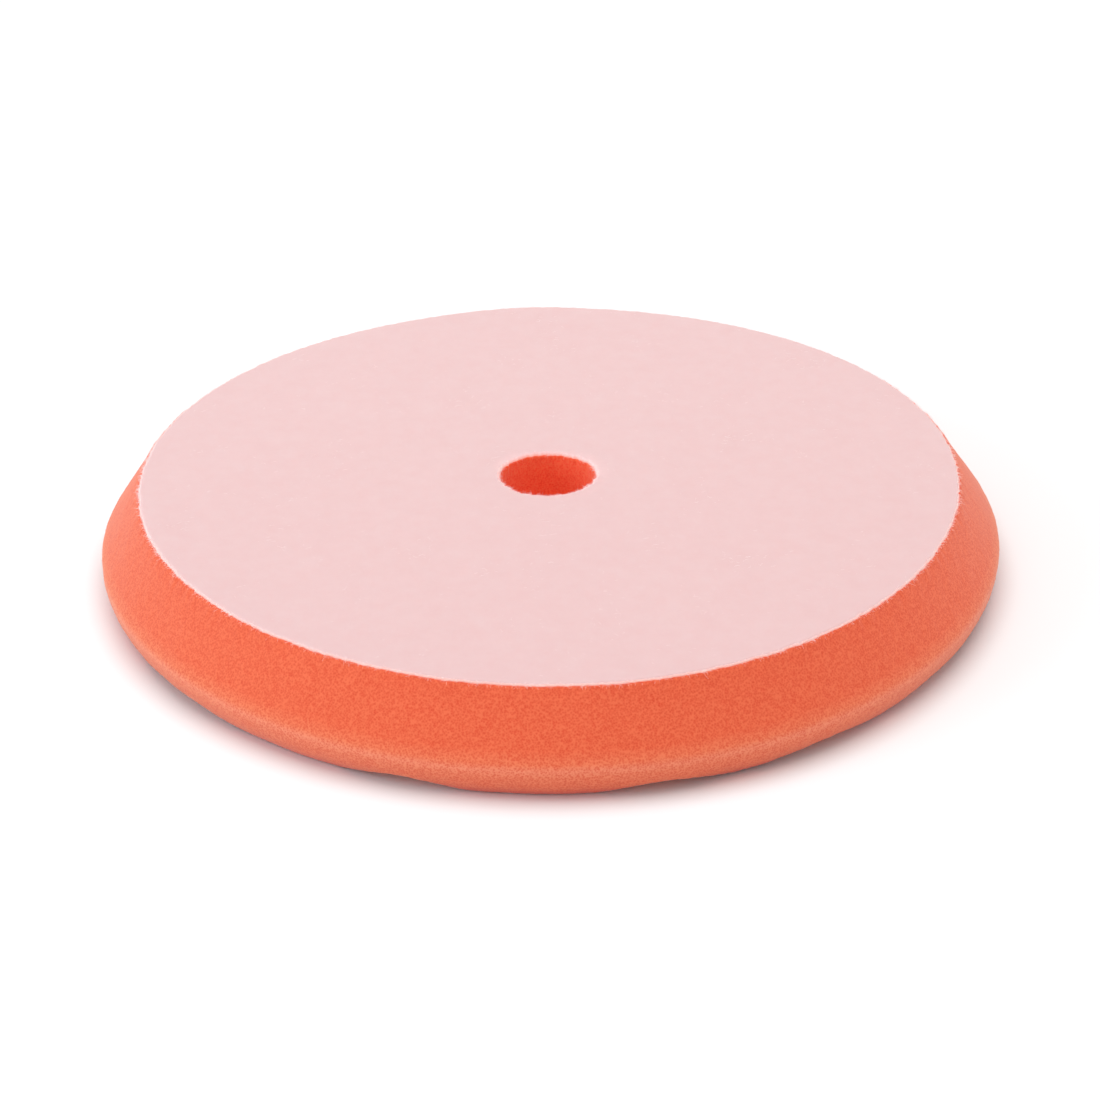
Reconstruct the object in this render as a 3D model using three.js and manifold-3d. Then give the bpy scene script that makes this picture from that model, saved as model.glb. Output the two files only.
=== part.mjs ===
// A round foam polishing pad for car detailing, with a hook-and-loop backing.
// It is a laminate of three layers, which are three separate solids:
//   foam_pad       one piece of open-cell foam, with a chamfered shoulder, a rounded side wall,
//                  a centring hole and a shallow waffle relief on its working face
//   adhesive_film  the thin hot-melt film that bonds the fabric to the foam
//   loop_backing   the disc of brushed loop fabric that grips a hook-faced backing plate
// Millimetres, +Z up. The pad lies on its working face: the origin is the centre of that face,
// and the loop face looks up.

import * as THREE from 'three';
import { mergeVertices } from 'three/addons/utils/BufferGeometryUtils.js';
import Module from 'manifold-3d';

const wasm = await Module();
wasm.setup();

// Driving dimensions
const OUTER_RADIUS = 90; // the pad's widest point: a 180 mm pad
const TOTAL_THICKNESS = 20; // working face to loop face
const LOOP_RADIUS = 81.5; // for a 150 mm backing plate, with a margin all round
const LOOP_THICKNESS = 0.8;
const FILM_THICKNESS = 0.2;
const HOLE_RADIUS = 9.75; // the centring hole, through all three layers

const FACE_RADIUS = 86.5; // rim of the working face, where the side wall has turned in
const EDGE_HEIGHT = 6.7; // height of the widest point
const EDGE_ROUNDING = 2; // radius that softens the edge between shoulder and side wall
const SHOULDER_STEP = 0.25; // foam that shows round the fabric before the shoulder falls away

const WAFFLE_PITCH = 46.6; // from one valley to the next
const WAFFLE_TURN = 79.4; // degrees from +X to the direction that the first valleys repeat in
const WAFFLE_OFFSETS = [30.8, 11.7]; // how far from the centre one valley of each family runs
const VALLEY_WIDTH = 26; // leaves flat lands about 20 mm square between the valleys
const VALLEY_DEPTH = 2.65;
const VALLEY_SHARPNESS = 1.5; // 1 makes the sides of a valley straight, 2 makes it a parabola

const FILM_MARGIN = 0.25; // the film stops short of the fabric's edge and of the hole

// Facet counts
const ROUND_SEGMENTS = 96; // round the pad
const EDGE_FACETS = 4; // across the softened edge
const WALL_FACETS = 5; // down the side wall
const VALLEY_FACETS = 10; // across a valley

// Heights that follow
const FOAM_TOP = TOTAL_THICKNESS - LOOP_THICKNESS - FILM_THICKNESS;
const FILM_TOP = FOAM_TOP + FILM_THICKNESS;

// Points along a circular arc, first and last included. Angles in radians.
function arcPoints(centreX, centreY, radius, startAngle, endAngle, facets) {
  const points = [];
  for (let i = 0; i <= facets; i++) {
    const angle = startAngle + ((endAngle - startAngle) * i) / facets;
    points.push(new THREE.Vector2(centreX + radius * Math.cos(angle), centreY + radius * Math.sin(angle)));
  }
  return points;
}

// The side wall is an arc that hangs straight down at the widest point
// and turns in to the rim of the working face.
function wallPoints() {
  const inset = OUTER_RADIUS - FACE_RADIUS;
  const radius = (inset ** 2 + EDGE_HEIGHT ** 2) / (2 * inset);
  const lowest = -Math.asin(EDGE_HEIGHT / radius);
  return arcPoints(OUTER_RADIUS - radius, EDGE_HEIGHT, radius, lowest, 0, WALL_FACETS);
}

// The softened edge carries on up from the widest point, and ends where a straight line
// from the top of the shoulder touches it.
function edgePoints(shoulderTop) {
  const centre = new THREE.Vector2(OUTER_RADIUS - EDGE_ROUNDING, EDGE_HEIGHT);
  const toTop = shoulderTop.clone().sub(centre);
  const touchAngle = toTop.angle() - Math.acos(EDGE_ROUNDING / toTop.length());
  return arcPoints(centre.x, centre.y, EDGE_ROUNDING, 0, touchAngle, EDGE_FACETS);
}

// Outline of the foam in the plane of radius and height, from the hole's lower edge
// out, up and back in to the hole, closed on itself.
function foamOutline() {
  const shoulderTop = new THREE.Vector2(LOOP_RADIUS + SHOULDER_STEP, FOAM_TOP);
  const lowerHoleEdge = new THREE.Vector2(HOLE_RADIUS, 0);
  return [
    lowerHoleEdge,
    ...wallPoints(),
    ...edgePoints(shoulderTop).slice(1),
    shoulderTop,
    new THREE.Vector2(HOLE_RADIUS, FOAM_TOP),
    lowerHoleEdge.clone(),
  ];
}

// A flat ring with a square section.
function ringOutline(innerRadius, outerRadius, bottom, top) {
  const lowerInnerEdge = new THREE.Vector2(innerRadius, bottom);
  return [
    lowerInnerEdge,
    new THREE.Vector2(outerRadius, bottom),
    new THREE.Vector2(outerRadius, top),
    new THREE.Vector2(innerRadius, top),
    lowerInnerEdge.clone(),
  ];
}

// A turned solid about +Z. LatheGeometry turns about +Y, so the result is stood up.
function turned(outline) {
  const geometry = new THREE.LatheGeometry(outline, ROUND_SEGMENTS);
  geometry.rotateX(Math.PI / 2);
  return geometry;
}

function toSolid(geometry) {
  const bare = geometry.clone();
  bare.deleteAttribute('normal');
  bare.deleteAttribute('uv');
  const merged = mergeVertices(bare);
  return new wasm.Manifold(
    new wasm.Mesh({
      numProp: 3,
      vertProperties: new Float32Array(merged.attributes.position.array),
      triVerts: new Uint32Array(merged.index.array),
    }),
  );
}

function toGeometry(solid) {
  const mesh = solid.getMesh();
  const geometry = new THREE.BufferGeometry();
  geometry.setAttribute('position', new THREE.BufferAttribute(mesh.vertProperties, 3));
  geometry.setIndex(new THREE.BufferAttribute(mesh.triVerts, 1));
  geometry.computeVertexNormals();
  return geometry;
}

// Points over the vault of a valley, from one side of it to the other. The height falls off
// from VALLEY_DEPTH in the middle to nothing at the sides.
function vaultPoints() {
  const points = [];
  for (let i = 0; i <= VALLEY_FACETS; i++) {
    const across = 1 - (2 * i) / VALLEY_FACETS;
    const height = VALLEY_DEPTH * (1 - Math.abs(across) ** VALLEY_SHARPNESS);
    points.push(new THREE.Vector2((across * VALLEY_WIDTH) / 2, height));
  }
  return points;
}

// One straight valley: a bar whose section is the vault, closed off by a rectangle below it.
function valleyCutter() {
  const halfWidth = VALLEY_WIDTH / 2;
  const below = -VALLEY_DEPTH;
  const section = new THREE.Shape([
    new THREE.Vector2(-halfWidth, below),
    new THREE.Vector2(halfWidth, below),
    ...vaultPoints(),
  ]);
  const length = 2.5 * OUTER_RADIUS;
  const bar = new THREE.ExtrudeGeometry(section, { depth: length, bevelEnabled: false });
  bar.translate(0, 0, -length / 2);
  bar.rotateX(Math.PI / 2);
  return bar;
}

// Where the valleys of one family lie: every WAFFLE_PITCH from the given offset, across the pad.
function valleyPositions(offset) {
  const reach = FACE_RADIUS + VALLEY_WIDTH / 2;
  const positions = [];
  const first = offset - Math.floor((offset + reach) / WAFFLE_PITCH) * WAFFLE_PITCH;
  for (let position = first; position <= reach; position += WAFFLE_PITCH) {
    positions.push(position);
  }
  return positions;
}

function foamPad() {
  let foam = toSolid(turned(foamOutline()));
  WAFFLE_OFFSETS.forEach((offset, family) => {
    const direction = THREE.MathUtils.degToRad(WAFFLE_TURN + 90 * family);
    for (const position of valleyPositions(offset)) {
      const valley = valleyCutter();
      valley.translate(position, 0, 0);
      valley.rotateZ(direction);
      foam = foam.subtract(toSolid(valley));
    }
  });
  return toGeometry(foam);
}

function adhesiveFilm() {
  return turned(ringOutline(HOLE_RADIUS + FILM_MARGIN, LOOP_RADIUS - FILM_MARGIN, FOAM_TOP, FILM_TOP));
}

function loopBacking() {
  return turned(ringOutline(HOLE_RADIUS, LOOP_RADIUS, FILM_TOP, TOTAL_THICKNESS));
}

function piece(name, geometry, color, roughness) {
  const material = new THREE.MeshStandardMaterial({ color, roughness, metalness: 0 });
  const mesh = new THREE.Mesh(geometry, material);
  mesh.name = name;
  return mesh;
}

const pad = new THREE.Group();
pad.add(piece('foam_pad', foamPad(), 0xec6748, 0.95));
pad.add(piece('adhesive_film', adhesiveFilm(), 0xf2d9c4, 0.5));
pad.add(piece('loop_backing', loopBacking(), 0xf6d0cf, 1));

export default pad;
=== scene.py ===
"""The looks of a round foam polishing pad, built round its CAD frame.

The pad lies on its working face. From the floor up it is orange-red open-cell foam with a
waffle-cut working face, a thin film of hot-melt adhesive, and a disc of brushed loop fabric.
Lengths are in metres. Each layer is a closed skin: rings of points about +Z, each joined to the
next, and then pushed out of true by slow waves and by noise.
"""

import math
from collections import namedtuple

import bpy
import numpy as np
from mathutils import Matrix, Vector, noise


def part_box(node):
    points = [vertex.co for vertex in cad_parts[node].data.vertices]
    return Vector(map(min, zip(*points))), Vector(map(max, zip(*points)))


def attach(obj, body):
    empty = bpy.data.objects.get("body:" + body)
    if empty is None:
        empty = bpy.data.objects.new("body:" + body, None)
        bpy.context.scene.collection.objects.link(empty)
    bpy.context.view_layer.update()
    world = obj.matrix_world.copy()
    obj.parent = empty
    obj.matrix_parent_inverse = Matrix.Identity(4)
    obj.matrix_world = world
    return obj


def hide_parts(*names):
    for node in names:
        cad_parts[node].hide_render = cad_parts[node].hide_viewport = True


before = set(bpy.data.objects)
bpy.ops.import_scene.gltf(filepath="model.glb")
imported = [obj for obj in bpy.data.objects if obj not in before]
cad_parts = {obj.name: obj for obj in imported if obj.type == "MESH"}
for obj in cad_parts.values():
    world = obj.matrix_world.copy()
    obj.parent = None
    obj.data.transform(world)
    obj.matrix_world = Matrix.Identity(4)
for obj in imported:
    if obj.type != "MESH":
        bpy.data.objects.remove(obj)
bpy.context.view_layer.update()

MM = 0.001
TURN = 2 * math.pi
UP = np.array([0.0, 0.0, 1.0])

# ---------------------------------------------------------------- sizes from the frame

foam_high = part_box("foam_pad")[1]
film_low, film_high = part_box("adhesive_film")
loop_low, loop_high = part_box("loop_backing")

OUTER_RADIUS = foam_high.x
LOOP_RADIUS = loop_high.x
FOAM_TOP = foam_high.z
LOOP_TOP = loop_high.z
FRAME_HOLE_RADIUS = min(v.co.xy.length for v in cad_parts["loop_backing"].data.vertices)

# ---------------------------------------------------------------- sizes of the pad's shape

FACE_INSET = 3.5 * MM  # how far the side wall turns in, down to the rim of the working face
FACE_RADIUS = OUTER_RADIUS - FACE_INSET
EDGE_HEIGHT = 6.7 * MM  # where the pad is widest
EDGE_ROUNDING = 2 * MM  # radius of the softened edge above that
SHOULDER_STEP = 0.25 * MM  # foam that shows round the fabric before the shoulder falls away
FOAM_LIP = 0.50 * MM  # how far the foam swells up beside the fabric that is pressed into it
HOLE_LIP = 0.22 * MM  # the same round the hole
LIP_GAP = 0.02 * MM  # between these lips and the fabric's edges
HOLE_CLOSING = 0.12 * MM  # how much narrower the hole is here than in the frame, on each side
HOLE_RADIUS = FRAME_HOLE_RADIUS - HOLE_CLOSING
HOLE_SWELL = 0.12 * MM  # how far the foam swells into the hole, past the fabric's edge

WAFFLE_PITCH = 46.6 * MM  # from one valley to the next
WAFFLE_TURN = math.radians(79.4)  # from +X to the direction that the first valleys repeat in
WAFFLE_OFFSETS = (30.8 * MM, 11.7 * MM)  # from the centre to one valley of each family
VALLEY_WIDTH = 26 * MM
VALLEY_DEPTH = 2.65 * MM
VALLEY_SHARPNESS = 1.5  # 1 is a plain V, 2 a parabola
VALLEY_SOFTNESS = 0.06 * MM  # how far the lands' edges are rounded

FABRIC_ROUNDING = 0.55 * MM  # the pile splays out at a cut edge
FILM_ROUNDING = 0.08 * MM

# Slow waves round the outline: (waves per turn, height, degrees from +X to a crest)
FOAM_WAVES = ((2, 0.38 * MM, -60), (3, 0.65 * MM, 29), (4, 0.22 * MM, 17))
LOOP_WAVES = ((0, 0.30 * MM, 0), (2, 0.44 * MM, -68), (3, 0.61 * MM, 38), (4, 0.15 * MM, 17))
HOLE_WAVES = ((2, 0.17 * MM, 0),)
HOLE_SHIFT = (-0.40 * MM, 0.12 * MM, 0)  # the hole is a little off centre
RIM_WAVES_FROM = 0.7  # share of the fabric's radius where the waves of its rim begin

# The fabric's rim stands out a little at one place
PEAK_HEIGHT = 0.95 * MM
PEAK_AT = math.radians(94)
PEAK_WIDTH = math.radians(10)

# Layers of noise: (how far across its features are, height, seed)
FOAM_RELIEF = ((9 * MM, 0.10 * MM, 1), (3.2 * MM, 0.05 * MM, 2), (0.9 * MM, 0.05 * MM, 3))
RIM_FRAY = ((4 * MM, 0.06 * MM, 5), (1.2 * MM, 0.30 * MM, 6))
HOLE_FRAY = ((0.8 * MM, 0.45 * MM, 6),)
NAP_RELIEF = ((1.1 * MM, 0.02 * MM, 7), (9 * MM, 0.05 * MM, 8))
SEED_SHIFT = (17.3, 5.1, 29.7)  # how far apart the places are where the seeds sample the noise
FRAY_REACH = 2 * MM  # how far in and down from a cut edge its fray reaches

# ---------------------------------------------------------------- how fine the skins are

# Points per ring: (least radius, count), from the rim inwards
SIDE_COUNT = 1152
HOLE_COUNT = 288
SIDE_COUNTS = ((0, SIDE_COUNT),)
FACE_COUNTS = ((80 * MM, SIDE_COUNT), (52 * MM, 576), (0, HOLE_COUNT))
LOOP_COUNTS = ((48 * MM, 960), (24 * MM, 480), (0, 240))

# Distances between rings
SIDE_STEP = 0.53 * MM
FACE_STEP = 1.1 * MM
HOLE_STEP = 0.6 * MM
HIDDEN_STEP = 12 * MM  # on the foam under the film
NAP_STEP = 0.55 * MM
UNDER_STEP = 9 * MM  # on the film, and under the fabric
ROUNDING_STEP = 1 / 3  # round the edges of film and fabric, as a share of their radius
CORNER_SHARE = 0.1  # how far up those edges one more ring keeps the lower corner crisp

# ---------------------------------------------------------------- ring skins

# Points on a circle about +Z: how many, its radius, its height and the name of its place
Ring = namedtuple("Ring", "count radius height place")


def count_at(radius, counts):
    """The count of the first pair whose least radius is reached."""
    for least, count in counts:
        if radius >= least:
            return count
    return counts[-1][1]


def on_circle(centre, radius, angle):
    """A point on a circle in the plane of radius and height."""
    return centre[0] + radius * math.cos(angle), centre[1] + radius * math.sin(angle)


def row(start, end, step, counts, place, last=True):
    """Rings along a straight line in the plane of radius and height, about step apart.

    last says whether there is a ring at the end itself."""
    length = math.dist(start, end)
    parts = max(1, round(length / step))
    rings = []
    for i in range(parts + (1 if last else 0)):
        share = i / parts
        radius = start[0] + (end[0] - start[0]) * share
        height = start[1] + (end[1] - start[1]) * share
        rings.append(Ring(count_at(radius, counts), radius, height, place))
    return rings


def arc(centre, radius, start, end, step, count, place):
    """Rings along an arc in the plane of radius and height, without its last point."""
    parts = max(2, round(abs(end - start) * radius / step))
    rings = []
    for i in range(parts):
        outwards, height = on_circle(centre, radius, start + (end - start) * i / parts)
        rings.append(Ring(count, outwards, height, place))
    return rings


def stepped(rings):
    """The rings again, with more between them where the count changes by more than a factor
    of two."""
    found = [rings[0]]
    for ring in rings[1:] + rings[:1]:
        last = found[-1]
        while not 0.5 <= ring.count / last.count <= 2:
            count = last.count * 2 if ring.count > last.count else last.count // 2
            radius = (last.radius + ring.radius) / 2
            height = (last.height + ring.height) / 2
            last = Ring(count, radius, height, ring.place)
            found.append(last)
        found.append(ring)
    return found[:-1]


def bridge(a, count_a, b, count_b):
    """Faces between two rings, the first of whose points are a and b."""
    if count_a == count_b:
        return [
            (a + i, a + (i + 1) % count_a, b + (i + 1) % count_a, b + i) for i in range(count_a)
        ]
    if count_a == 2 * count_b:
        faces = []
        for i in range(count_b):
            near, middle, far = a + 2 * i, a + 2 * i + 1, a + (2 * i + 2) % count_a
            low, high = b + i, b + (i + 1) % count_b
            faces += [(near, middle, low), (middle, high, low), (middle, far, high)]
        return faces
    if count_b == 2 * count_a:
        return [tuple(reversed(face)) for face in bridge(b, count_b, a, count_a)]
    raise ValueError(f"rings of {count_a} and {count_b} points don't join")


class Skin:
    """The points of a list of rings, in arrays, and the faces that join each ring to the next."""

    def __init__(self, rings):
        self.rings = rings
        self.start = np.cumsum([0] + [r.count for r in rings])
        self.angle = np.concatenate([np.arange(r.count) * TURN / r.count for r in rings])
        self.radius = np.concatenate([np.full(r.count, r.radius) for r in rings])
        self.height = np.concatenate([np.full(r.count, r.height) for r in rings])
        self.place = np.concatenate([np.full(r.count, r.place) for r in rings])

    def points(self, stray):
        """Where the points are, once each has moved outwards by its own stray."""
        x = (self.radius + stray) * np.cos(self.angle)
        y = (self.radius + stray) * np.sin(self.angle)
        return np.stack([x, y, self.height], axis=1)

    def faces(self):
        """Every ring is joined to the next and the last to the first, so the skin is closed."""
        found = []
        for i in range(len(self.rings)):
            j = (i + 1) % len(self.rings)
            found += bridge(self.start[i], self.rings[i].count, self.start[j], self.rings[j].count)
        return found


def new_mesh(name, points, faces):
    mesh = bpy.data.meshes.new(name)
    mesh.from_pydata([tuple(p) for p in points], [], faces)
    return mesh


def mesh_object(name, points, faces):
    """A piece with smooth shading."""
    mesh = new_mesh(name, points, faces)
    mesh.validate()
    piece = bpy.data.objects.new(name, mesh)
    bpy.context.scene.collection.objects.link(piece)
    mesh.polygons.foreach_set("use_smooth", [True] * len(mesh.polygons))
    mesh.update()
    return piece


def normals_of(points, faces):
    """The unit normal at each point, from the faces around it."""
    mesh = new_mesh("normals", points, faces)
    found = np.zeros(len(points) * 3)
    mesh.vertices.foreach_get("normal", found)
    bpy.data.meshes.remove(mesh)
    return found.reshape(-1, 3)


# ---------------------------------------------------------------- out of true


def directions(angle):
    """Unit vectors at the given angles: straight out from +Z, and along the turn."""
    level = np.zeros_like(angle)
    outwards = np.stack([np.cos(angle), np.sin(angle), level], axis=1)
    along = np.stack([-np.sin(angle), np.cos(angle), level], axis=1)
    return outwards, along


def scaled(vectors, lengths):
    """Each vector times its own length."""
    return vectors * lengths[:, None]


def noise_at(points, size, seed):
    """Smooth noise from -1 to 1 at each point, with features about size across."""
    shift = Vector([seed * distance for distance in SEED_SHIFT])
    return np.array([noise.noise(Vector(p) / size + shift) for p in points])


def relief_at(points, layers):
    """The height of some layers of noise at each point."""
    return sum(noise_at(points, size, seed) * height for size, height, seed in layers)


def waves(angle, terms):
    """The height of some slow waves at the given angles."""
    return sum(height * np.cos(n * (angle - math.radians(crest))) for n, height, crest in terms)


def loop_rim(angle):
    """How far the fabric's rim lies outside LOOP_RADIUS at the given angles."""
    from_peak = (angle - PEAK_AT + math.pi) % TURN - math.pi
    return waves(angle, LOOP_WAVES) + PEAK_HEIGHT * np.exp(-((from_peak / PEAK_WIDTH) ** 2))


def near_rim(radius):
    """1 at the fabric's outer edge and beyond it, falling to 0 at FRAY_REACH inside it."""
    return np.clip((radius - LOOP_RADIUS) / FRAY_REACH + 1, 0, 1)


def near_hole(radius):
    """1 at the edge of the hole, falling to 0 at FRAY_REACH away from it."""
    return np.clip((HOLE_RADIUS - radius) / FRAY_REACH + 1, 0, 1)


def fray(radius, angle):
    """How far the fabric's cut edges stray in and out at each point, outwards being positive."""
    rim, hole = near_rim(radius), near_hole(radius)
    edge = np.where(rim > 0, LOOP_RADIUS, HOLE_RADIUS)
    around = scaled(directions(angle)[0], edge)
    return relief_at(around, RIM_FRAY) * rim + relief_at(around, HOLE_FRAY) * hole


def hole_share(radius):
    """1 at the hole, falling to 0 at twice its radius."""
    return np.clip(2 - radius / HOLE_RADIUS, 0, 1)


def hole_shift(radius):
    """How far points at each radius move sideways, so that the hole is off centre."""
    return hole_share(radius)[:, None] * np.array(HOLE_SHIFT)


def drift(radius, angle, rim):
    """How far points stray outwards from true circles: by rim from the fabric's edge outwards,
    and by the hole's own waves at the hole."""
    rim_share = np.clip((radius / LOOP_RADIUS - RIM_WAVES_FROM) / (1 - RIM_WAVES_FROM), 0, 1)
    return rim * rim_share + waves(angle, HOLE_WAVES) * hole_share(radius)


# ---------------------------------------------------------------- the foam


def foam_rings():
    """The foam's outline: working face outwards, side wall, softened edge, shoulder, top, hole."""
    wall_radius = (FACE_INSET**2 + EDGE_HEIGHT**2) / (2 * FACE_INSET)
    wall_centre = (OUTER_RADIUS - wall_radius, EDGE_HEIGHT)
    wall_start = -math.asin(EDGE_HEIGHT / wall_radius)

    # The softened edge ends where a straight line from the top of the shoulder touches it
    lip_top = FOAM_TOP + FOAM_LIP
    shoulder_top = (LOOP_RADIUS + SHOULDER_STEP, lip_top)
    edge_centre = (OUTER_RADIUS - EDGE_ROUNDING, EDGE_HEIGHT)
    to_top = (shoulder_top[0] - edge_centre[0], shoulder_top[1] - edge_centre[1])
    touch = math.atan2(to_top[1], to_top[0]) - math.acos(EDGE_ROUNDING / math.hypot(*to_top))
    touch_at = on_circle(edge_centre, EDGE_ROUNDING, touch)

    outer_lip = LOOP_RADIUS + LIP_GAP
    inner_lip = HOLE_RADIUS - LIP_GAP
    wall = HOLE_RADIUS - HOLE_SWELL
    hole_top = FOAM_TOP + HOLE_LIP

    rings = row((wall, 0), (FACE_RADIUS, 0), FACE_STEP, FACE_COUNTS, "face", last=False)
    rings += arc(wall_centre, wall_radius, wall_start, 0, SIDE_STEP, SIDE_COUNT, "side")
    rings += arc(edge_centre, EDGE_ROUNDING, 0, touch, SIDE_STEP, SIDE_COUNT, "side")
    rings += row(touch_at, shoulder_top, SIDE_STEP, SIDE_COUNTS, "side")
    rings.append(Ring(SIDE_COUNT, outer_lip, lip_top, "lip"))
    rings += row((outer_lip, FOAM_TOP), (inner_lip, FOAM_TOP), HIDDEN_STEP, FACE_COUNTS, "top")
    rings.append(Ring(HOLE_COUNT, inner_lip, hole_top, "lip"))
    rings += row((wall, hole_top), (wall, 0), HOLE_STEP, FACE_COUNTS, "hole", last=False)
    return stepped(rings)


def soft_max(a, b, softness):
    """The larger of two heights, rounded off where they are nearly the same."""
    return 0.5 * (a + b + np.sqrt((a - b) ** 2 + softness**2))


def valley_height(x, y):
    """How far the waffle's valleys rise above the working face at each point."""
    height = np.zeros_like(x)
    for family, offset in enumerate(WAFFLE_OFFSETS):
        turn = WAFFLE_TURN + family * math.pi / 2
        across = x * math.cos(turn) + y * math.sin(turn) - offset
        across -= WAFFLE_PITCH * np.round(across / WAFFLE_PITCH)
        share = np.abs(across) / (VALLEY_WIDTH / 2)
        height = soft_max(height, VALLEY_DEPTH * (1 - share**VALLEY_SHARPNESS), VALLEY_SOFTNESS)
    return height


def cut_waffle(skin):
    """Raises the working face and the wall to the valleys, and shortens the hole to match."""
    lift = valley_height(skin.radius * np.cos(skin.angle), skin.radius * np.sin(skin.angle))
    low = (skin.place == "face") | (skin.place == "side")
    skin.height[low] = soft_max(skin.height, lift, VALLEY_SOFTNESS)[low]
    hole = skin.place == "hole"
    share = skin.height[hole] / FOAM_TOP
    skin.height[hole] = lift[hole] + (FOAM_TOP - lift[hole]) * share


def foam_stray(skin):
    """How far the foam strays outwards from true circles: by its own waves at the bottom, and
    with the fabric's waves and fray at the top."""
    lowness = 1 - skin.height / FOAM_TOP
    rim = waves(skin.angle, FOAM_WAVES) * lowness + loop_rim(skin.angle) * (1 - lowness)
    frayed = np.clip(1 + (skin.height - FOAM_TOP) / FRAY_REACH, 0, 1)
    return drift(skin.radius, skin.angle, rim) + fray(skin.radius, skin.angle) * frayed


def make_foam():
    skin = Skin(foam_rings())
    cut_waffle(skin)
    points = skin.points(foam_stray(skin)) + hole_shift(skin.radius)
    faces = skin.faces()
    shown = (skin.place != "top") & (skin.place != "lip")
    points = points + scaled(normals_of(points, faces), relief_at(points, FOAM_RELIEF) * shown)
    points[:, 2] = np.maximum(points[:, 2], 0)
    return mesh_object("foam_body", points, faces)


# ---------------------------------------------------------------- film and fabric


def ring_plate(bottom, top, step, rounding):
    """A flat ring from the hole to the fabric's rim, with rounded upper edges. The rings on its
    top are step apart."""
    outer_count = LOOP_COUNTS[0][1]
    inner_count = LOOP_COUNTS[-1][1]
    shoulder = top - rounding
    corner = bottom + CORNER_SHARE * (shoulder - bottom)
    outer = LOOP_RADIUS - rounding
    inner = HOLE_RADIUS + rounding
    fine = rounding * ROUNDING_STEP

    rings = row((HOLE_RADIUS, bottom), (LOOP_RADIUS, bottom), UNDER_STEP, LOOP_COUNTS, "under")
    rings.append(Ring(outer_count, LOOP_RADIUS, corner, "rim"))
    rings += arc((outer, shoulder), rounding, 0, TURN / 4, fine, outer_count, "rim")
    rings += row((outer, top), (inner, top), step, LOOP_COUNTS, "nap")
    rings += arc((inner, shoulder), rounding, TURN / 4, TURN / 2, fine, inner_count, "rim")[1:]
    rings.append(Ring(inner_count, HOLE_RADIUS, shoulder, "rim"))
    rings.append(Ring(inner_count, HOLE_RADIUS, corner, "rim"))
    return Skin(stepped(rings))


def loop_stray(radius, angle):
    """How far the fabric strays outwards from true circles at each point."""
    return drift(radius, angle, loop_rim(angle)) + fray(radius, angle)


def make_loop():
    skin = ring_plate(loop_low.z, LOOP_TOP, NAP_STEP, FABRIC_ROUNDING)
    points = skin.points(loop_stray(skin.radius, skin.angle)) + hole_shift(skin.radius)
    points[:, 2] += relief_at(points, NAP_RELIEF) * (skin.place == "nap")
    return mesh_object("loop_fabric", points, skin.faces())


def make_film():
    skin = ring_plate(film_low.z, film_high.z, UNDER_STEP, FILM_ROUNDING)
    points = skin.points(loop_stray(skin.radius, skin.angle)) + hole_shift(skin.radius)
    return mesh_object("glue_film", points, skin.faces())


# ---------------------------------------------------------------- loose fibres

FIBRE_THICKNESS = 0.035 * MM
FIBRE_SIDES = 3
FIBRE_POINTS = 4
FIBRE_TAPER = 0.5  # how much thinner the ends are than the middle
OFF_AXIS = (0.31, 0.43, 0.85)  # a direction that no fibre follows exactly

# The fringe at the cut edges. Distances are shares of a fibre's length
CLUMP_SIZE = 4 * MM  # how far across the places are where the fibres are longer or shorter
CLUMPING = 0.4  # how much longer or shorter
FRINGE_LENGTHS = (0.4, 1.3)  # shortest and longest fibre, as shares of the fringe's length
FRINGE_LEAN = TURN / 6  # how far up the rounded edge the highest fibres stand
FRINGE_RISE = 0.6  # how much a fibre follows the slope of that edge
FRINGE_SPREAD = 0.6  # how far fibres spread to the left and right
FRINGE_LIFT = (-0.1, 0.3)  # how far they point up on average, and how far they spread about that
FRINGE_CURL = 0.35  # how far their tips curl any way
FRINGE_SAG = 0.25  # how far their tips hang down
FRINGE_ROOT = -0.3  # where they start, inside the fabric

# The pile on the face
BRUSHED_TOWARDS = math.radians(20)  # from +X to the way that most of the loops lie
BRUSH_SPREAD = 0.9  # how far the loops spread about that, in radians
PILE_LENGTHS = (0.5, 1.5)  # shortest and longest loop, as shares of the pile's length
PILE_LOFTS = (0.3, 1.2)  # lowest and highest loop, as shares of its loft
PILE_BOW = 0.25  # how far the loops bow sideways, as a share of their length


def fibre_mesh(name, paths):
    """Closed tubes that thin towards both ends, one along each of the given paths.

    paths is an array of strands by points by coordinates."""
    strands, points = paths.shape[:2]
    along = np.gradient(paths, axis=1)
    along /= np.linalg.norm(along, axis=2, keepdims=True)
    sideways = np.cross(along, OFF_AXIS)
    sideways /= np.linalg.norm(sideways, axis=2, keepdims=True)
    across = np.cross(along, sideways)
    from_middle = np.abs(2 * np.linspace(0, 1, points) - 1)
    radius = FIBRE_THICKNESS / 2 * (1 - FIBRE_TAPER * from_middle**3)
    turn = np.arange(FIBRE_SIDES) * TURN / FIBRE_SIDES
    rings = (
        paths[:, :, None, :]
        + (radius[:, None] * np.cos(turn))[None, :, :, None] * sideways[:, :, None, :]
        + (radius[:, None] * np.sin(turn))[None, :, :, None] * across[:, :, None, :]
    )
    faces = []
    for strand in range(strands):
        first = strand * points * FIBRE_SIDES
        last = first + (points - 1) * FIBRE_SIDES
        faces.append(tuple(first + i for i in reversed(range(FIBRE_SIDES))))
        faces.append(tuple(last + i for i in range(FIBRE_SIDES)))
        for ring in range(first, last, FIBRE_SIDES):
            faces += bridge(ring, FIBRE_SIDES, ring + FIBRE_SIDES, FIBRE_SIDES)
    return mesh_object(name, rings.reshape(-1, 3), faces)


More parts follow.
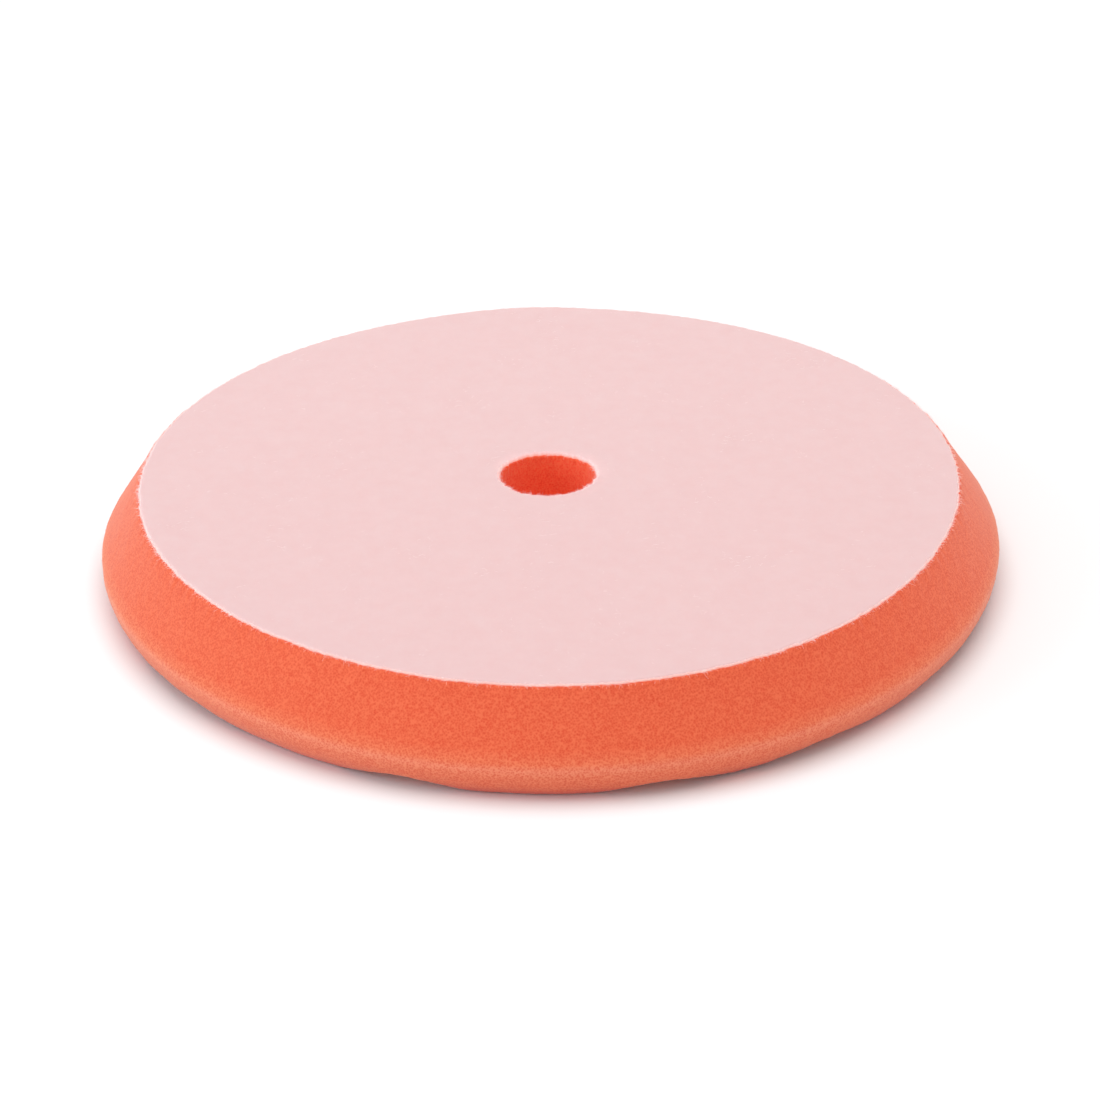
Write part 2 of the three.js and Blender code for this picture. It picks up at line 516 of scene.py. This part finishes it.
def fringe_paths(count, radius, outward, length, seed):
    """Short fibres that stick out of a cut edge of the fabric, longer in some places than others.

    outward is 1 for the outer edge and -1 for the edge of the hole."""
    draw = np.random.default_rng(seed)
    angle = draw.uniform(0, TURN, count)
    outwards, along = directions(angle)
    clumps = 1 + CLUMPING * noise_at(outwards * radius, CLUMP_SIZE, seed)
    reach = length * draw.uniform(*FRINGE_LENGTHS, count) * clumps

    # The roots lie on the rounded edge, each at its own lean
    lean = draw.uniform(0, FRINGE_LEAN, count)
    circle = np.full(count, radius)
    edge = circle + loop_stray(circle, angle) - outward * FABRIC_ROUNDING * (1 - np.cos(lean))
    height = LOOP_TOP - FABRIC_ROUNDING * (1 - np.sin(lean))
    root = scaled(outwards, edge) + np.outer(height, UP) + hole_shift(circle)

    heading = scaled(outward * outwards, np.cos(lean)) + np.outer(FRINGE_RISE * np.sin(lean), UP)
    heading = heading + scaled(along, draw.normal(0, FRINGE_SPREAD, count))
    heading = heading + np.outer(draw.normal(*FRINGE_LIFT, count), UP)
    heading /= np.linalg.norm(heading, axis=1, keepdims=True)
    curl = draw.normal(0, FRINGE_CURL, (count, 3)) - FRINGE_SAG * UP

    share = np.linspace(FRINGE_ROOT, 1, FIBRE_POINTS)[None, :, None]
    way = heading[:, None, :] * share + curl[:, None, :] * share**2
    return root[:, None, :] + way * reach[:, None, None]


def pile_paths(count, length, loft, seed):
    """Low loops of fibre lying over the fabric's face, mostly brushed the same way."""
    draw = np.random.default_rng(seed)
    angle = draw.uniform(0, TURN, count)
    radius = np.sqrt(draw.uniform((HOLE_RADIUS + length) ** 2, (LOOP_RADIUS - length) ** 2, count))
    heading = draw.normal(BRUSHED_TOWARDS, BRUSH_SPREAD, count)
    reach = length * draw.uniform(*PILE_LENGTHS, count)
    high = loft * draw.uniform(*PILE_LOFTS, count)
    middle = scaled(directions(angle)[0], radius) + LOOP_TOP * UP
    ahead, sideways = directions(heading)
    ahead = scaled(ahead, reach)
    bow = scaled(sideways, reach * draw.normal(0, PILE_BOW, count))

    share = np.linspace(0, 1, FIBRE_POINTS)
    arch = 4 * share * (1 - share)
    paths = middle[:, None, :] + ahead[:, None, :] * (share - 0.5)[None, :, None]
    paths = paths + bow[:, None, :] * arch[None, :, None]
    paths[:, :, 2] += high[:, None] * arch[None, :] - FIBRE_THICKNESS
    return paths


# ---------------------------------------------------------------- material nodes

# A Mix node's sockets have the same names for every type, so its colours go by number
MIX_NEAR = 6
MIX_FAR = 7
MIX_RESULT = 2


def set_values(made, **values):
    """Sets a node's sockets and properties. In a socket's name, _ stands for a space."""
    for name, value in values.items():
        socket = name.replace("_", " ")
        if socket in made.inputs:
            made.inputs[socket].default_value = value
        else:
            setattr(made, name, value)


def node(tree, kind, **values):
    made = tree.nodes.new(kind)
    set_values(made, **values)
    return made


def new_material(name):
    """A material with its node tree and its shader."""
    material = bpy.data.materials.new(name)
    material.use_nodes = True
    tree = material.node_tree
    return material, tree, tree.nodes["Principled BSDF"]


def place_on_pad(tree):
    """The place of each point in the pad's own frame."""
    return node(tree, "ShaderNodeTexCoord").outputs["Object"]


def clouds(tree, place, scale, detail, roughness):
    """Cloudy noise from 0 to 1."""
    texture = node(tree, "ShaderNodeTexNoise", Scale=scale, Detail=detail, Roughness=roughness)
    tree.links.new(place, texture.inputs["Vector"])
    return texture.outputs["Fac"]


def coloured(tree, value, stops):
    """Colours that follow a value, by (value, colour) stops."""
    ramp = node(tree, "ShaderNodeValToRGB")
    elements = ramp.color_ramp.elements
    while len(elements) < len(stops):
        elements.new(1)
    for element, (position, colour) in zip(elements, stops):
        element.position = position
        element.color = (*colour, 1)
    tree.links.new(value, ramp.inputs["Fac"])
    return ramp.outputs["Color"]


def coloured_by_height(tree, place, tones):
    """Colours that follow the height above the working face: (height, colour) pairs, going up."""
    lowest, highest = tones[0][0], tones[-1][0]
    split = node(tree, "ShaderNodeSeparateXYZ")
    tree.links.new(place, split.inputs["Vector"])
    level = node(tree, "ShaderNodeMapRange", From_Min=lowest, From_Max=highest)
    tree.links.new(split.outputs["Z"], level.inputs["Value"])
    stops = [((height - lowest) / (highest - lowest), colour) for height, colour in tones]
    return coloured(tree, level.outputs["Result"], stops)


def multiplied(tree, one, other):
    """The product of two colours."""
    mix = node(tree, "ShaderNodeMix", data_type="RGBA", blend_type="MULTIPLY", Factor=1)
    tree.links.new(one, mix.inputs[MIX_NEAR])
    tree.links.new(other, mix.inputs[MIX_FAR])
    return mix.outputs[MIX_RESULT]


def blended(tree, share, near, far):
    """near where share is 0, and far where it is 1. Each is a plain colour or a socket."""
    mix = node(tree, "ShaderNodeMix", data_type="RGBA")
    for socket, colour in ((mix.inputs[MIX_NEAR], near), (mix.inputs[MIX_FAR], far)):
        if isinstance(colour, tuple):
            socket.default_value = (*colour, 1)
        else:
            tree.links.new(colour, socket)
    tree.links.new(share, mix.inputs["Factor"])
    return mix.outputs[MIX_RESULT]


def bumped(tree, height, strength, distance):
    """Normals that follow a height."""
    bump = node(tree, "ShaderNodeBump", Strength=strength, Distance=distance)
    tree.links.new(height, bump.inputs["Height"])
    return bump.outputs["Normal"]


def radius_of(tree, place):
    """The distance from the pad's axis."""
    split = node(tree, "ShaderNodeSeparateXYZ")
    level = node(tree, "ShaderNodeCombineXYZ")
    length = node(tree, "ShaderNodeVectorMath", operation="LENGTH")
    tree.links.new(place, split.inputs["Vector"])
    tree.links.new(split.outputs["X"], level.inputs["X"])
    tree.links.new(split.outputs["Y"], level.inputs["Y"])
    tree.links.new(level.outputs["Vector"], length.inputs[0])
    return length.outputs["Value"]


# ---------------------------------------------------------------- materials

# Between these radii the looks of the hole give way to those of the rest
HOLE_FADE = (HOLE_RADIUS + 1 * MM, HOLE_RADIUS + 3 * MM)


def beyond_hole(tree, place):
    """0 in the hole, 1 outside it."""
    start, end = HOLE_FADE
    far = node(tree, "ShaderNodeMapRange", From_Min=start, From_Max=end)
    tree.links.new(radius_of(tree, place), far.inputs["Value"])
    return far.outputs["Result"]


# The widest edge is paler than the shoulder: a painted highlight. Below it the wall is painted
# darker and redder towards the floor: painted shade
FOAM_TONES_AND_PAINTED_LIGHT = (
    (0.0 * MM, (0.66, 0.040, 0.020)),
    (1.0 * MM, (0.68, 0.060, 0.030)),
    (2.5 * MM, (0.73, 0.120, 0.052)),
    (5.5 * MM, (0.82, 0.167, 0.084)),
    (6.8 * MM, (0.885, 0.210, 0.115)),
    (8.0 * MM, (0.835, 0.155, 0.071)),
    (10.0 * MM, (0.825, 0.118, 0.050)),
    (19.0 * MM, (0.835, 0.115, 0.049)),
)
# Inside the hole the foam is painted a brighter red: painted light, for light coming through the
# foam
HOLE_TONE_PAINTED_LIGHT = (0.96, 0.130, 0.055)

# A faint emission stands in for light that comes through the foam into the hole, red, and less
# so lower down
NO_GLOW = (0, 0, 0)
HOLE_GLOWS = (
    (0.0 * MM, NO_GLOW),
    (9.5 * MM, (0.35, 0.035, 0.010)),
    (19.0 * MM, (1.0, 0.10, 0.03)),
)

# What the foam's tone is multiplied by, at two levels of its grain
PORE_TINTS = ((0.25, (0.90, 0.64, 0.62)), (0.65, (1.07, 1.37, 1.40)))


def foam_grain(tree, place):
    """Round cells about 0.4 mm across, with finer clouds in them."""
    cells = node(tree, "ShaderNodeTexVoronoi", Scale=2600, Randomness=1)
    tree.links.new(place, cells.inputs["Vector"])
    grain = node(tree, "ShaderNodeMix", data_type="FLOAT", Factor=0.45)
    tree.links.new(cells.outputs["Distance"], grain.inputs["A"])
    tree.links.new(clouds(tree, place, scale=1100, detail=3, roughness=0.6), grain.inputs["B"])
    return grain.outputs["Result"]


def foam_material():
    material, tree, shader = new_material("open_cell_foam")
    place = place_on_pad(tree)
    grain = foam_grain(tree, place)
    far = beyond_hole(tree, place)
    tone = blended(tree, far, HOLE_TONE_PAINTED_LIGHT, coloured_by_height(tree, place, FOAM_TONES_AND_PAINTED_LIGHT))
    tinted = multiplied(tree, tone, coloured(tree, grain, PORE_TINTS))
    glow = blended(tree, far, coloured_by_height(tree, place, HOLE_GLOWS), NO_GLOW)
    relief = bumped(tree, grain, strength=0.45, distance=0.12 * MM)
    tree.links.new(tinted, shader.inputs["Base Color"])
    tree.links.new(glow, shader.inputs["Emission Color"])
    tree.links.new(relief, shader.inputs["Normal"])
    set_values(
        shader,
        Emission_Strength=0.065,
        Roughness=0.95,
        Specular_IOR_Level=0.1,
        Sheen_Weight=0.35,
        Sheen_Roughness=0.5,
        Sheen_Tint=(1.0, 0.85, 0.74, 1),
    )
    return material


BRUSHED_TONE = (0.753, 0.497, 0.489)  # the fabric's face

# The cut edge is open fluff. Its tones are painted light: paler than the brushed face to offset
# the shade where the edge turns down, and oranger for the foam's red light reaching it.
# A faint emission stands in for the light that comes through it
FABRIC_TONES_WITH_PAINTED_LIGHT = (
    (LOOP_TOP - 0.80 * MM, (1.00, 0.48, 0.38)),
    (LOOP_TOP - 0.50 * MM, (1.00, 0.55, 0.46)),
    (LOOP_TOP - 0.28 * MM, (0.97, 0.63, 0.58)),
    (LOOP_TOP - 0.12 * MM, (0.85, 0.565, 0.545)),
    (LOOP_TOP - 0.04 * MM, BRUSHED_TONE),
    (LOOP_TOP, BRUSHED_TONE),
)
RIM_GLOWS = (
    (LOOP_TOP - 0.80 * MM, (0.24, 0.090, 0.060)),
    (LOOP_TOP - 0.35 * MM, (0.16, 0.070, 0.055)),
    (LOOP_TOP - 0.12 * MM, NO_GLOW),
    (LOOP_TOP, NO_GLOW),
)

# More light comes through the cut edge round the hole: its tones paint that light on, paler and
# oranger than the brushed face, and the glows below stand in for it too
HOLE_EDGE_TONES_WITH_PAINTED_LIGHT = (
    (LOOP_TOP - 0.80 * MM, (1.00, 0.55, 0.42)),
    (LOOP_TOP - 0.45 * MM, (1.00, 0.72, 0.69)),
    (LOOP_TOP - 0.20 * MM, (0.95, 0.66, 0.65)),
    (LOOP_TOP - 0.05 * MM, (0.80, 0.53, 0.52)),
    (LOOP_TOP, BRUSHED_TONE),
)
HOLE_EDGE_GLOWS = (
    (LOOP_TOP - 0.80 * MM, (0.40, 0.130, 0.080)),
    (LOOP_TOP - 0.45 * MM, (0.20, 0.090, 0.080)),
    (LOOP_TOP - 0.20 * MM, (0.13, 0.065, 0.062)),
    (LOOP_TOP - 0.05 * MM, (0.03, 0.015, 0.015)),
    (LOOP_TOP, NO_GLOW),
)

# What the fabric's tone is multiplied by, at two levels of the clouds in its unevenly brushed pile
NAP_TINTS = ((0.30, (0.99, 0.965, 0.965)), (0.70, (1.01, 1.035, 1.035)))


def fabric_material():
    material, tree, shader = new_material("brushed_loop_fabric")
    place = place_on_pad(tree)
    far = beyond_hole(tree, place)
    hole_tone = coloured_by_height(tree, place, HOLE_EDGE_TONES_WITH_PAINTED_LIGHT)
    tone = blended(tree, far, hole_tone, coloured_by_height(tree, place, FABRIC_TONES_WITH_PAINTED_LIGHT))
    nap = clouds(tree, place, scale=260, detail=7, roughness=0.75)
    tinted = multiplied(tree, tone, coloured(tree, nap, NAP_TINTS))
    hole_glow = coloured_by_height(tree, place, HOLE_EDGE_GLOWS)
    glow = blended(tree, far, hole_glow, coloured_by_height(tree, place, RIM_GLOWS))
    fibres = clouds(tree, place, scale=2500, detail=3, roughness=0.7)
    relief = bumped(tree, fibres, strength=0.2, distance=0.1 * MM)
    tree.links.new(tinted, shader.inputs["Base Color"])
    tree.links.new(glow, shader.inputs["Emission Color"])
    tree.links.new(relief, shader.inputs["Normal"])
    set_values(
        shader,
        Emission_Strength=1,
        Roughness=0.95,
        Specular_IOR_Level=0.1,
        Sheen_Weight=0.15,
        Sheen_Roughness=0.4,
        Subsurface_Weight=1,
        Subsurface_Radius=(1, 1, 1),
        Subsurface_Scale=0.8 * MM,
    )
    return material


# The fibres are painted paler than the brushed face: painted light, to offset the shade on their
# thin sides and for light coming through them
FIBRE_TONES_WITH_PAINTED_LIGHT = ((0.35, (0.98, 0.79, 0.78)), (0.65, (1.00, 0.90, 0.89)))
FIBRE_GLOW = (1.0, 0.60, 0.56, 1)
FRINGE_GLOW_STRENGTH = 0.18
PILE_GLOW_STRENGTH = 0


def fibre_material(name, glow_strength):
    """The glow stands in for light that comes through the fluff that the fibres stand in."""
    material, tree, shader = new_material(name)
    patches = clouds(tree, place_on_pad(tree), scale=600, detail=2, roughness=0.6)
    tree.links.new(coloured(tree, patches, FIBRE_TONES_WITH_PAINTED_LIGHT), shader.inputs["Base Color"])
    set_values(
        shader,
        Emission_Color=FIBRE_GLOW,
        Emission_Strength=glow_strength,
        Roughness=0.8,
        Specular_IOR_Level=0.2,
    )
    return material


FILM_TONES = ((0, (0.86, 0.45, 0.36)), (1, (0.88, 0.55, 0.48)))


def film_material():
    material, tree, shader = new_material("hot_melt_film")
    patches = clouds(tree, place_on_pad(tree), scale=400, detail=3, roughness=0.5)
    tree.links.new(coloured(tree, patches, FILM_TONES), shader.inputs["Base Color"])
    set_values(shader, Roughness=0.5)
    return material


def floor_material():
    material, _, shader = new_material("pale_floor")
    set_values(shader, Base_Color=(0.95, 0.95, 0.95, 1), Roughness=0.9, Specular_IOR_Level=0.1)
    return material


# ---------------------------------------------------------------- the stage

CAMERA_ELEVATION = math.radians(28.13)
CAMERA_ROLL = math.radians(0.91)
CAMERA_DISTANCE = 642.1 * MM
CAMERA_ASIDE = 0.06 * MM  # to the right of where it would look straight at the loop face's centre
CAMERA_ABOVE = -15.28 * MM  # and above that, so here below it
CAMERA_LENS = 105.3  # in millimetres, like the sensor
SENSOR_WIDTH = 36

SKY_BRIGHTNESS = 0.66
FLOOR_REACH = 20  # metres to each side


def make_camera():
    forward = Vector((0, math.cos(CAMERA_ELEVATION), -math.sin(CAMERA_ELEVATION)))
    level_up = Vector((0, math.sin(CAMERA_ELEVATION), math.cos(CAMERA_ELEVATION)))
    level_right = Vector((1, 0, 0))
    right = math.cos(CAMERA_ROLL) * level_right - math.sin(CAMERA_ROLL) * level_up
    up = math.sin(CAMERA_ROLL) * level_right + math.cos(CAMERA_ROLL) * level_up
    data = bpy.data.cameras.new("camera")
    data.lens = CAMERA_LENS
    data.sensor_width = SENSOR_WIDTH
    data.clip_start = 0.01
    data.clip_end = 50
    camera = bpy.data.objects.new("camera", data)
    bpy.context.scene.collection.objects.link(camera)
    centre = Vector((0, 0, LOOP_TOP))
    place = centre + CAMERA_ASIDE * right + CAMERA_ABOVE * up - CAMERA_DISTANCE * forward
    axes = Matrix((right, up, -forward)).transposed()
    camera.matrix_world = Matrix.Translation(place) @ axes.to_4x4()
    bpy.context.scene.camera = camera


def area_light(name, place, size, power, colour=(1, 1, 1)):
    """A round light that shines at the middle of the working face."""
    data = bpy.data.lights.new(name, "AREA")
    data.shape = "DISK"
    data.size = size
    data.energy = power
    data.color = colour
    light = bpy.data.objects.new(name, data)
    bpy.context.scene.collection.objects.link(light)
    light.location = place
    light.rotation_euler = (-Vector(place)).to_track_quat("-Z", "Y").to_euler()


def make_lights():
    world = bpy.data.worlds.new("studio")
    bpy.context.scene.world = world
    world.use_nodes = True
    sky = world.node_tree.nodes["Background"]
    set_values(sky, Color=(1, 1, 1, 1), Strength=SKY_BRIGHTNESS)
    area_light("overhead", place=(0, 0.1, 1.4), size=1.6, power=11)
    area_light("left_fill", place=(-1.2, -0.3, 0.5), size=0.8, power=4, colour=(0.78, 1.10, 1.28))


def make_floor():
    corners = [(-1, -1), (1, -1), (1, 1), (-1, 1)]
    points = [(FLOOR_REACH * x, FLOOR_REACH * y, 0) for x, y in corners]
    mesh = new_mesh("floor", points, [(0, 1, 2, 3)])
    floor = bpy.data.objects.new("floor", mesh)
    bpy.context.scene.collection.objects.link(floor)
    mesh.materials.append(floor_material())


# ---------------------------------------------------------------- the build

foam = make_foam()
foam.data.materials.append(foam_material())
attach(foam, "root")
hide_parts("foam_pad")

film = make_film()
film.data.materials.append(film_material())
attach(film, "root")
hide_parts("adhesive_film")

fabric = make_loop()
fabric.data.materials.append(fabric_material())
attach(fabric, "root")
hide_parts("loop_backing")

rim_paths = fringe_paths(count=7000, radius=LOOP_RADIUS, outward=1, length=0.55 * MM, seed=11)
hole_paths = fringe_paths(count=1400, radius=HOLE_RADIUS, outward=-1, length=0.5 * MM, seed=12)
face_paths = pile_paths(count=3500, length=1.2 * MM, loft=0.02 * MM, seed=13)
fringe_finish = fibre_material("fringe_fibre", FRINGE_GLOW_STRENGTH)
pile_finish = fibre_material("pile_fibre", PILE_GLOW_STRENGTH)

for name, paths, finish in (
    ("rim_fringe", rim_paths, fringe_finish),
    ("hole_fringe", hole_paths, fringe_finish),
    ("loop_pile", face_paths, pile_finish),
):
    fringe = fibre_mesh(name, paths)
    fringe.data.materials.append(finish)
    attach(fringe, "root")

make_floor()
make_lights()
make_camera()
bpy.context.scene.view_settings.view_transform = "Standard"
